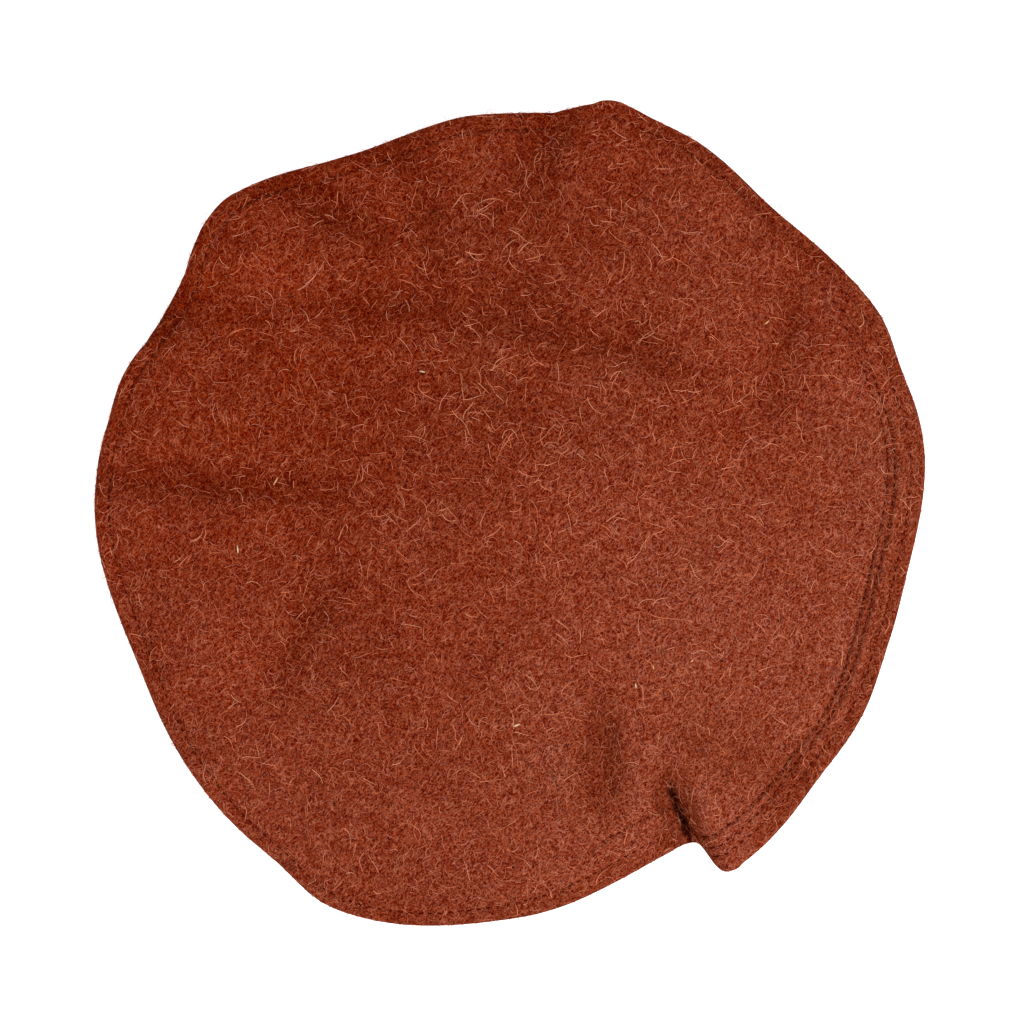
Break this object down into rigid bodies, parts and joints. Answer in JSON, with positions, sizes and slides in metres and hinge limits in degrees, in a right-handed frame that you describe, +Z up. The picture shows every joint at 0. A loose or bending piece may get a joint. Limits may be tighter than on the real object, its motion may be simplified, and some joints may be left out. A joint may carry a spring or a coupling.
{
  "type": "pakol hat",
  "caption": "Soft round wool hat with a flat creased crown over a thick rolled band, lying on a table.",
  "frame": {"origin": "middle of the hat's footprint box, on the table that it lies on", "axes": "+Z up out of the crown, +X to the right and +Y away as seen in the picture, which looks straight down"},
  "size_m": [0.2824, 0.2806, 0.055],
  "materials": {
    "crown_wool": "fuzzy fulled wool, rust brown",
    "side_wool": "fuzzy fulled wool, rust brown"
  },
  "bodies": {
    "root": {"crown": "crown_wool", "rolled_side": "side_wool"}
  },
  "joints": []
}
